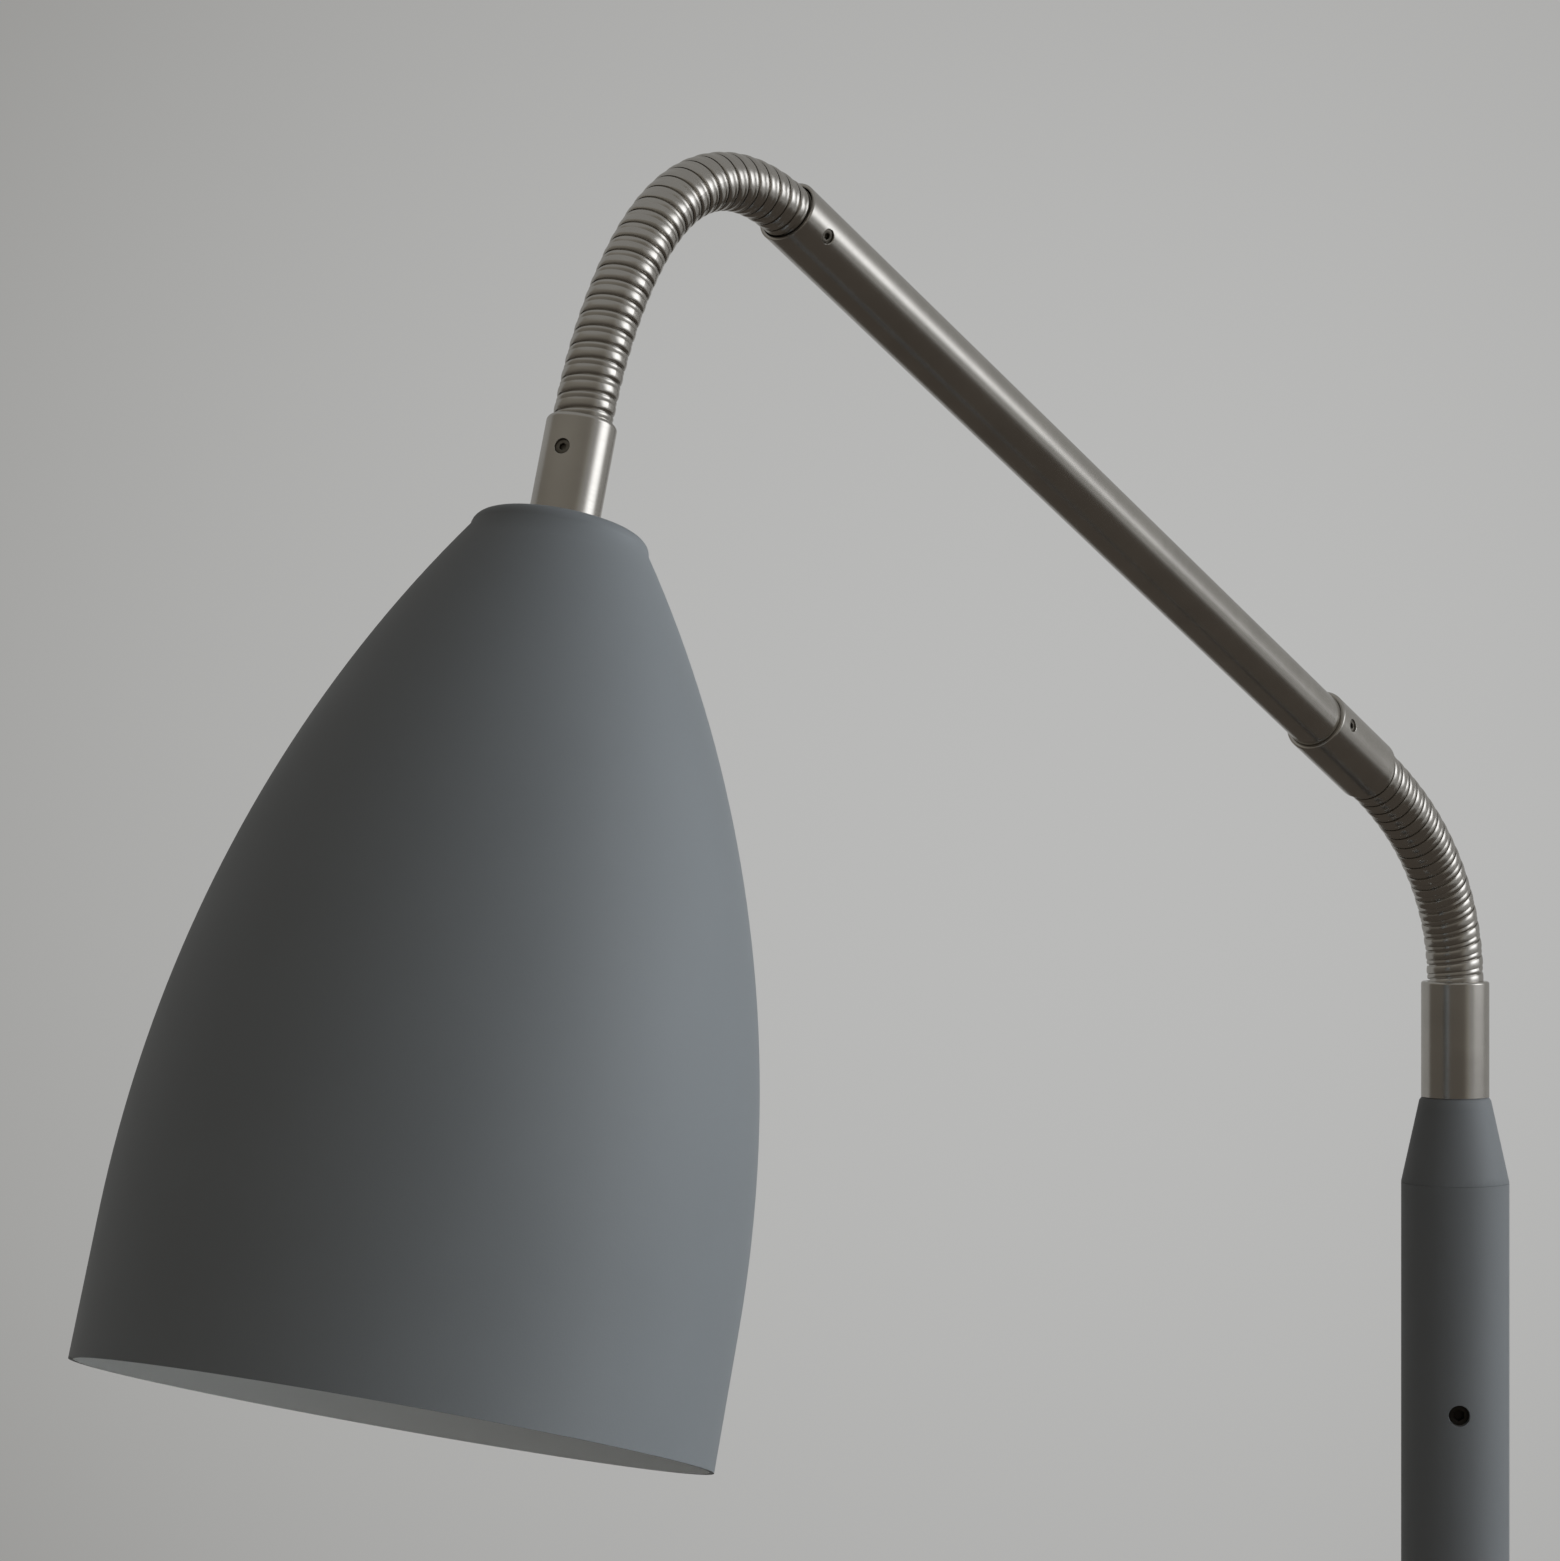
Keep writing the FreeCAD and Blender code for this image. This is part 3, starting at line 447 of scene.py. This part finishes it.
def wound_strip_tree():
    """Geometry Nodes: a strip with the outline's section, wound round a path.

    The straight strip is made first, with its number of turns as its length. Each of its points
    keeps its turn and its place in the outline, and is then laid round the path by them.
    """
    tree = bpy.data.node_groups.new("wound strip", "GeometryNodeTree")
    face = tree.interface

    def socket(name, kind, way="INPUT"):
        return face.new_socket(name, in_out=way, socket_type=kind)

    socket("Path", "NodeSocketGeometry")
    socket("Strip", "NodeSocketGeometry", "OUTPUT")
    inputs = {name: socket(name, kind).identifier for name, kind in
              [("Outline", "NodeSocketObject"), ("Start", "NodeSocketFloat"),
               ("Turns", "NodeSocketInt"), ("Pitch", "NodeSocketFloat"),
               ("Sides", "NodeSocketInt"), ("Material", "NodeSocketMaterial")]}

    def node(kind, **settings):
        made = tree.nodes.new(kind)
        for name, value in settings.items():
            setattr(made, name, value)
        return made

    def join(output, target):
        tree.links.new(output, target)

    def sum_of(operation, a, b=None):
        made = node("ShaderNodeMath", operation=operation)
        for value, target in zip((a, b), made.inputs):
            if isinstance(value, (int, float)):
                target.default_value = value
            elif value is not None:
                join(value, target)
        return made.outputs[0]

    def vector(operation, a, b=None, scale=None):
        made = node("ShaderNodeVectorMath", operation=operation)
        join(a, made.inputs[0])
        if isinstance(b, tuple):
            made.inputs[1].default_value = b
        elif b is not None:
            join(b, made.inputs[1])
        if scale is not None:
            join(scale, made.inputs["Scale"])
        return made.outputs[0]

    given = node("NodeGroupInput").outputs
    outline = node("GeometryNodeObjectInfo")
    join(given["Outline"], outline.inputs["Object"])
    place = node("GeometryNodeInputPosition").outputs[0]
    keep_outline = node("GeometryNodeStoreNamedAttribute", data_type="FLOAT_VECTOR")
    keep_outline.inputs["Name"].default_value = "outline"
    join(outline.outputs["Geometry"], keep_outline.inputs["Geometry"])
    join(place, keep_outline.inputs["Value"])

    end = node("ShaderNodeCombineXYZ")
    join(given["Turns"], end.inputs["Z"])
    straight = node("GeometryNodeCurvePrimitiveLine")
    join(end.outputs[0], straight.inputs["End"])
    stepped = node("GeometryNodeResampleCurve")
    join(straight.outputs[0], stepped.inputs["Curve"])
    steps = sum_of("ADD", sum_of("MULTIPLY", given["Turns"], given["Sides"]), 1)
    join(steps, stepped.inputs["Count"])
    height = node("ShaderNodeSeparateXYZ")
    join(place, height.inputs[0])
    keep_turn = node("GeometryNodeStoreNamedAttribute", data_type="FLOAT")
    keep_turn.inputs["Name"].default_value = "turn"
    join(stepped.outputs[0], keep_turn.inputs["Geometry"])
    join(height.outputs["Z"], keep_turn.inputs["Value"])

    strip = node("GeometryNodeCurveToMesh")
    join(keep_turn.outputs[0], strip.inputs["Curve"])
    join(keep_outline.outputs[0], strip.inputs["Profile Curve"])
    strip.inputs["Fill Caps"].default_value = True

    turn = node("GeometryNodeInputNamedAttribute", data_type="FLOAT")
    turn.inputs["Name"].default_value = "turn"
    section = node("GeometryNodeInputNamedAttribute", data_type="FLOAT_VECTOR")
    section.inputs["Name"].default_value = "outline"
    split = node("ShaderNodeSeparateXYZ")
    join(section.outputs["Attribute"], split.inputs[0])
    radius, way = split.outputs["X"], split.outputs["Y"]
    turns = turn.outputs["Attribute"]
    angle = sum_of("MULTIPLY", turns, 2 * math.pi)
    distance = sum_of("ADD", given["Start"],
                      sum_of("ADD", sum_of("MULTIPLY", turns, given["Pitch"]), way))
    centre = node("GeometryNodeSampleCurve", mode="LENGTH")
    join(given["Path"], centre.inputs["Curves"])
    join(distance, centre.inputs["Length"])
    behind = vector("CROSS_PRODUCT", centre.outputs["Tangent"], (1, 0, 0))
    aside = node("ShaderNodeCombineXYZ")
    join(sum_of("MULTIPLY", radius, sum_of("COSINE", angle)), aside.inputs["X"])
    rise = sum_of("MULTIPLY", radius, sum_of("SINE", angle))
    offset = vector("ADD", vector("SCALE", behind, scale=rise), aside.outputs[0])
    laid = node("GeometryNodeSetPosition")
    join(strip.outputs[0], laid.inputs["Geometry"])
    join(vector("ADD", centre.outputs["Position"], offset), laid.inputs["Position"])

    flat = node("ShaderNodeCombineXYZ")
    join(sum_of("MULTIPLY", angle, radius), flat.inputs["X"])
    join(way, flat.inputs["Y"])
    keep_uv = node("GeometryNodeStoreNamedAttribute", data_type="FLOAT2", domain="CORNER")
    keep_uv.inputs["Name"].default_value = "UVMap"
    join(laid.outputs[0], keep_uv.inputs["Geometry"])
    join(flat.outputs[0], keep_uv.inputs["Value"])
    last = keep_uv
    for name in ("turn", "outline"):
        drop = node("GeometryNodeRemoveAttribute")
        drop.inputs["Name"].default_value = name
        join(last.outputs[0], drop.inputs[0])
        last = drop
    real = node("GeometryNodeRealizeInstances")
    join(last.outputs[0], real.inputs[0])
    coated = node("GeometryNodeSetMaterial")
    join(real.outputs[0], coated.inputs["Geometry"])
    join(given["Material"], coated.inputs["Material"])
    join(coated.outputs[0], node("NodeGroupOutput").inputs[0])
    return tree, inputs


def wound_piece(name, path, outline, start, turns, pitch, sides, material):
    """The tree's strip as a plain mesh at the origin."""
    tree, inputs = WOUND_STRIP
    modifier = path.modifiers.new("wound strip", "NODES")
    modifier.node_group = tree
    for key, value in (("Outline", outline), ("Start", start), ("Turns", turns),
                       ("Pitch", pitch), ("Sides", sides), ("Material", material)):
        modifier[inputs[key]] = value
    bpy.context.view_layer.update()
    shown = path.evaluated_get(bpy.context.evaluated_depsgraph_get())
    mesh = bpy.data.meshes.new_from_object(shown)
    path.modifiers.remove(modifier)
    mesh.name = name
    if signed_volume(mesh) < 0:
        mesh.flip_normals()
    smoothed(mesh)
    return mesh_object(name, mesh)


def signed_volume(mesh):
    mesh.calc_loop_triangles()
    corners = mesh.vertices
    total = 0.0
    for triangle in mesh.loop_triangles:
        a, b, c = (corners[i].co for i in triangle.vertices)
        total += a.dot(b.cross(c)) / 6
    return total


def neck(sizes):
    """The neck's strip, two turns on each body: they part at the joints, as its links do."""
    hinges = [j for j in frame["joints"] if j["name"].startswith(sizes["name"])]
    joints = [Vector(j["pos_m"]) for j in hinges]
    points = neck_path(sizes, joints)
    path = curve_object(sizes["name"] + "_path", points)
    outline = curve_object(sizes["name"] + "_outline",
                           [(radius, way, 0) for radius, way in strip_outline(sizes)], True)
    length = sum((b - a).length for a, b in zip(points, points[1:]))
    spare = PATH_SPARE_TURNS * sizes["pitch"]
    pitch = (length - 2 * spare) / (2 * len(joints))
    bodies = [hinges[0]["parent"]] + [hinge["child"] for hinge in hinges]
    for i, (body, node) in enumerate(zip(bodies, NECK_NODES[sizes["name"]])):
        piece = wound_piece(f"{sizes['name']}_strip_{i + 1:02d}", path, outline,
                            spare + (2 * i - 1.5) * pitch, 2, pitch, STRIP_SIDES,
                            MATERIALS["neck_nickel"])
        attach(piece, body)
        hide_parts(node)
    for helper in (path, outline):
        bpy.data.objects.remove(helper)


NECK_NODES = {
    "lower_neck": ["lower_neck_base_plug"] + [f"lower_neck_{i:02d}" for i in range(1, 9)]
    + ["lower_neck_arm_plug"],
    "upper_neck": ["upper_neck_arm_plug"] + [f"upper_neck_{i:02d}" for i in range(1, 14)]
    + ["upper_neck_shade_plug"],
}
WOUND_STRIP = wound_strip_tree()
neck(LOWER_NECK)
neck(UPPER_NECK)


# ---- Shade ----

def shade_outer_r(above_rim):
    """The shade's outer radius at a height above its rim: one arc over the straight stretch."""
    arc_height = SHADE_LENGTH - SHADE_RIM_STRAIGHT
    inset = SHADE_RIM_R - SHADE_TOP_R
    arc_r = (arc_height ** 2 + inset ** 2) / (2 * inset)
    over = max(above_rim - SHADE_RIM_STRAIGHT, 0)
    return SHADE_RIM_R - arc_r + math.sqrt(arc_r ** 2 - over ** 2)


def shade():
    """The spun shade, painted grey outside and pale inside."""
    upper = [j for j in frame["joints"] if j["name"].startswith("upper_neck")]
    heading = UPPER_NECK["last_heading"]
    head = Vector(upper[-1]["pos_m"]) + direction(heading) * UPPER_NECK["pitch"]
    matrix = set_on_line(head, heading)
    top, rim = SHADE_COLLAR_LENGTH, SHADE_COLLAR_LENGTH + SHADE_LENGTH
    steps = 48
    corner = SHADE_TOP_EDGE_R
    outer = []
    reach = SHADE_LENGTH - corner * 0.85
    for i in range(steps + 1):
        above = reach * i / steps
        outer.append((shade_outer_r(above), rim - above))
    side_r, side_z = outer[-1]
    for i in range(1, 8):
        swing = math.radians(90) * i / 8
        outer.append((side_r - corner * 0.9 * (1 - math.cos(swing)),
                      side_z + (top - side_z) * math.sin(swing)))
    outer.append((side_r - corner * 0.9, top))
    outer.append((SHADE_HOLE_R, top))
    inner = [(SHADE_HOLE_R, top + SHADE_SHEET)]
    for radius, z in reversed(outer[:-1]):
        inner.append((max(radius - SHADE_SHEET, SHADE_HOLE_R), min(z + SHADE_SHEET, rim)
                      if z < side_z + 1e-9 and z != rim else z))
    outline = outer + inner
    slots = [0] * len(outer) + [1] * len(inner)
    slots[-1] = 0
    piece = turned("shade_spun", outline, matrix,
                   [MATERIALS["shade_paint"], MATERIALS["shade_inside"]], 160, slots)
    if signed_volume(piece.data) < 0:
        piece.data.flip_normals()
    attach(piece, "head")
    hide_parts("shade")


shade()


# ---- Turned, drilled and cast parts ----

ARM_NODES = ("arm_tube", "arm_lower_sleeve")
HEAD_NODES = ("shade_collar",)
EDGES = {
    "post_tube": 0.00015, "post_top_cone": 0.00015, "post_set_screw": BROKEN_EDGE,
    "lower_collar": BROKEN_EDGE, "arm_lower_sleeve": BROKEN_EDGE, "arm_tube": 0.00018,
    "sleeve_grub_screw": 0.00008, "arm_grub_screw": 0.00008, "shade_collar": 0.00008,
    "shade_collar_grub_screw": 0.00008, "shade_nut": 0.0003, "shade_washer": BROKEN_EDGE,
    "foot_pad": 0.0006, "foot_weight": 0.0012, "cable_bush": 0.0005,
    "foot_nut": 0.0004, "foot_washer": 0.0002, "lampholder_cap": 0.0006,
    "lampholder_body": 0.0006, "lampholder_core": 0.0004, "bulb_housing": 0.0003,
}


def finish_of(name):
    """The finish of a node's slot, turned to its own tube where it is brushed."""
    slot = frame["nodes"][name].data.materials[0].name.split(".")[0]
    if name.endswith("grub_screw"):
        return "grub_steel"
    if slot == "satin_nickel":
        return "arm_nickel" if name in ARM_NODES else "head_nickel" if name in HEAD_NODES else slot
    return slot


def axis_of(name):
    """A point on the axis that a part was turned about, and the way that the axis runs."""
    neck, heading = (("lower_neck", ARM_HEADING) if name in ARM_NODES else
                     ("upper_neck", SHADE_HEADING) if name in HEAD_NODES else (None, POST_HEADING))
    place = [j["pos_m"] for j in frame["joints"] if neck and j["name"].startswith(neck)]
    return Vector(place[-1] if place else (0, 0, 0)), direction(heading)


def made_round(mesh, base, way):
    """A turned wall is shaded as the round wall that it is, whatever its facets are."""
    normals = [Vector(corner.vector) for corner in mesh.corner_normals]
    for face in mesh.polygons:
        out = face.center - base
        out = (out - way * out.dot(way)).normalized()
        facing = face.normal.dot(out)
        if abs(face.normal.dot(way)) < 0.05 and abs(facing) > 0.97:
            for k in face.loop_indices:
                here = mesh.vertices[mesh.loops[k].vertex_index].co - base
                here = (here - way * here.dot(way)).normalized()
                normals[k] = here if facing > 0 else -here
    mesh.normals_split_custom_set(normals)


def edge_broken(name, width):
    """The node's shape with its sharp edges broken, as a file or a tumbler leaves them."""
    node = frame["nodes"][name]
    shape = bmesh.new()
    shape.from_mesh(node.data)
    bmesh.ops.remove_doubles(shape, verts=shape.verts, dist=MERGE)
    merged = bpy.data.meshes.new(name + "_edges_broken")
    shape.to_mesh(merged)
    shape.free()
    merged.shade_smooth()
    merged.materials.clear()
    merged.materials.append(MATERIALS[finish_of(name)])
    piece = mesh_object(name + "_edges_broken", merged)
    bevel = piece.modifiers.new("broken edge", "BEVEL")
    bevel.width = width
    bevel.segments = BROKEN_EDGE_STEPS
    bevel.limit_method = "ANGLE"
    bevel.angle_limit = math.radians(BROKEN_EDGE_FROM)
    bevel.use_clamp_overlap = False
    bevel.harden_normals = True
    bpy.context.view_layer.update()
    shown = piece.evaluated_get(bpy.context.evaluated_depsgraph_get())
    mesh = bpy.data.meshes.new_from_object(shown)
    piece.modifiers.remove(bevel)
    mesh.name = merged.name
    made_round(mesh, *axis_of(name))
    piece.data = mesh
    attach(piece, next(body for body, nodes in BODY_NODES.items() if name in nodes))
    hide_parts(name)


BODY_NODES = frame["record"]["behaviour"]["bodies"]
for node_name, edge_width in EDGES.items():
    edge_broken(node_name, edge_width)
for node_name, solid in frame["nodes"].items():
    coat = MATERIALS[finish_of(node_name)]
    solid.data.materials.clear()
    solid.data.materials.append(coat)


# ---- Stage and light ----

def floor():
    """A round pale floor, too small to reach into the photograph's view."""
    level = CAD_BOX[0].z
    corners = [(FLOOR_R * math.cos(a), FLOOR_R * math.sin(a), level)
               for a in (2 * math.pi * i / 128 for i in range(128))]
    mesh = bpy.data.meshes.new("floor")
    mesh.from_pydata(corners, [], [list(range(len(corners)))])
    finish = Finish("floor")
    finish.colour(finish.ranged(finish.noise(0.8, 2.0), 0.0, 1.0), (0.66, 0.66, 0.64),
                  (0.70, 0.70, 0.68))
    finish.set(Roughness=0.9, Emission_Color=FLOOR_LIFT)
    path = finish.tree.nodes.new("ShaderNodeLightPath")
    finish.join(path.outputs["Is Camera Ray"], finish.shader.inputs["Emission Strength"])
    mesh.materials.append(finish.material)
    mesh_object("floor", mesh)


def around(azimuth):
    a = math.radians(azimuth)
    return Vector((math.sin(a), -math.cos(a), 0))


def smooth_step(share):
    share = min(max(share, 0.0), 1.0)
    return share * share * (3 - 2 * share)


def painted_reflection_sheet(name, columns, rows, place, tone):
    """A glowing sheet that only shows in the metal: a painted reflection, not a lamp.

    Its place and its tone are given for shares of its width and height.
    """
    shares = [(i / columns, j / rows) for j in range(rows + 1) for i in range(columns + 1)]
    corner = columns + 1
    faces = [(j * corner + i, j * corner + i + 1, (j + 1) * corner + i + 1, (j + 1) * corner + i)
             for j in range(rows) for i in range(columns)]
    mesh = bpy.data.meshes.new(name)
    mesh.from_pydata([tuple(place(u, v)) for u, v in shares], [], faces)
    tones = mesh.attributes.new("tone", "FLOAT_COLOR", "POINT")
    for entry, (u, v) in zip(tones.data, shares):
        entry.color = (*tone(u, v), 1)
    finish = Finish(name)
    read = finish.tree.nodes.new("ShaderNodeAttribute")
    read.attribute_name = "tone"
    finish.join(read.outputs["Color"], finish.shader.inputs["Emission Color"])
    finish.set(Base_Color=(0, 0, 0, 1), Specular_IOR_Level=0.0, Emission_Strength=1.0)
    mesh.materials.append(finish.material)
    made = mesh_object(name, mesh)
    # Hidden from all rays but glossy ones, so it lights nothing and only paints a reflection in the
    # metal.
    for ray in ("camera", "diffuse", "transmission", "volume_scatter", "shadow"):
        setattr(made, "visible_" + ray, False)


def dim_room():
    """Painted reflection of the unlit side of the room, shown only in the metal: painted shade, dark at
    the floor, paler towards the ceiling and the window.
    """
    def place(u, v):
        edge = around(SCREEN_FROM + (SCREEN_TO - SCREEN_FROM) * u) * SCREEN_R
        return Vector((LIT_PLACE.x, LIT_PLACE.y, 0)) + edge + Vector((0, 0, SCREEN_HEIGHT * v))

    def tone(u, v):
        left = (1 - u) * (SCREEN_TO - SCREEN_FROM) / SCREEN_SOFT_END
        height = max(v, 1 - smooth_step(left))
        return [low + (high - low) * height for low, high in zip(PAINTED_REFLECTION_DARK, PAINTED_REFLECTION_PALE)]

    painted_reflection_sheet("dim_room", 44, 12, place, tone)
    # A dark disc at the floor that shows only in the metal: painted shade in the floor's reflection.
    painted_reflection_sheet("dim_floor", 48, 4,
         lambda u, v: LIT_PLACE * Vector((1, 1, 0)) + around(360 * u) * SCREEN_R * (0.02 + v)
         + Vector((0, 0, 0.002)), lambda u, v: PAINTED_REFLECTION_DARK)


def window():
    """A soft light from one side, hidden from the metal, and a glowing pane that paints its reflection,
    a painted highlight, in the metal.
    """
    elevation = math.radians(WINDOW_ELEVATION)
    away = around(WINDOW_AZIMUTH) * math.cos(elevation) + Vector((0, 0, math.sin(elevation)))
    middle = LIT_PLACE + away * WINDOW_DISTANCE
    light = bpy.data.lights.new("window", "AREA")
    light.shape = "RECTANGLE"
    light.size, light.size_y = WINDOW_SIZE
    light.energy = WINDOW_POWER
    light.color = (0.86, 0.94, 1.0)
    lamp = bpy.data.objects.new("window", light)
    lamp.location = middle
    lamp.rotation_euler = away.to_track_quat("Z", "Y").to_euler()
    lamp.visible_glossy = False
    bpy.context.scene.collection.objects.link(lamp)

    aside = around(WINDOW_AZIMUTH + 90)
    upward = aside.cross(away) * (1 if aside.cross(away).z > 0 else -1)

    def place(u, v):
        return middle + aside * PANE_SIZE[0] * (u - 0.5) + upward * PANE_SIZE[1] * (v - 0.5)

    def tone(u, v):
        inside = min(u, 1 - u, v, 1 - v) / PANE_SOFT_EDGE
        share = smooth_step(inside)
        return [dim + (pane - dim) * share for dim, pane in zip(BACKDROP_DIM, PAINTED_WINDOW_REFLECTION_TONE)]

    painted_reflection_sheet("window_pane", 24, 24, place, tone)


def backdrop_bright_way():
    """The direction of the brightest place of the wall behind the lamp, where the wall's painted light
    is strongest.
    """
    across, down = (p - c for p, c in zip(BACKDROP_BRIGHT_PIXEL, PICTURE_CENTRE))
    turned_by = bpy.context.scene.camera.rotation_euler.to_matrix()
    return (turned_by @ Vector((across, -down, -FOCAL_LENGTH_IN_PIXELS))).normalized()


def world():
    """An even fill for the matt surfaces, and a wall for what the lens, metal and glass see, graded as
    painted light: brighter round one place, dimmer away from it.
    """
    made = bpy.data.worlds.new("room")
    bpy.context.scene.world = made
    made.use_nodes = True
    tree = made.node_tree
    tree.nodes.clear()

    def node(kind, **sockets):
        new = tree.nodes.new(kind)
        for name, value in sockets.items():
            new.inputs[name.replace("_", " ")].default_value = value
        return new

    fill = node("ShaderNodeBackground", Color=(1.0, 0.985, 0.93, 1), Strength=ROOM_FILL)
    way = node("ShaderNodeTexCoord")
    near = node("ShaderNodeVectorMath")
    near.operation = "DOT_PRODUCT"
    near.inputs[1].default_value = backdrop_bright_way()
    tree.links.new(way.outputs["Generated"], near.inputs[0])
    share = node("ShaderNodeMapRange", From_Min=math.cos(math.radians(BACKDROP_REACH)),
                 From_Max=1.0)
    tree.links.new(near.outputs["Value"], share.inputs["Value"])
    graded = tree.nodes.new("ShaderNodeMix")
    graded.data_type = "RGBA"
    colours = [socket for socket in graded.inputs if socket.type == "RGBA"]
    for socket, colour in zip(colours, (BACKDROP_DIM, BACKDROP_BRIGHT)):
        socket.default_value = (*colour, 1)
    tree.links.new(share.outputs["Result"], graded.inputs["Factor"])
    wall = node("ShaderNodeBackground", Strength=1.0)
    tree.links.new([s for s in graded.outputs if s.type == "RGBA"][0], wall.inputs["Color"])

    path = node("ShaderNodeLightPath")
    seen = path.outputs["Is Camera Ray"]
    for ray in ("Is Glossy Ray", "Is Transmission Ray"):
        either = node("ShaderNodeMath")
        either.operation = "MAXIMUM"
        tree.links.new(seen, either.inputs[0])
        tree.links.new(path.outputs[ray], either.inputs[1])
        seen = either.outputs[0]
    mix = node("ShaderNodeMixShader")
    tree.links.new(seen, mix.inputs[0])
    tree.links.new(fill.outputs[0], mix.inputs[1])
    tree.links.new(wall.outputs[0], mix.inputs[2])
    tree.links.new(mix.outputs[0], node("ShaderNodeOutputWorld").inputs["Surface"])


floor()
world()
dim_room()
window()
bpy.context.scene.view_settings.view_transform = "Standard"
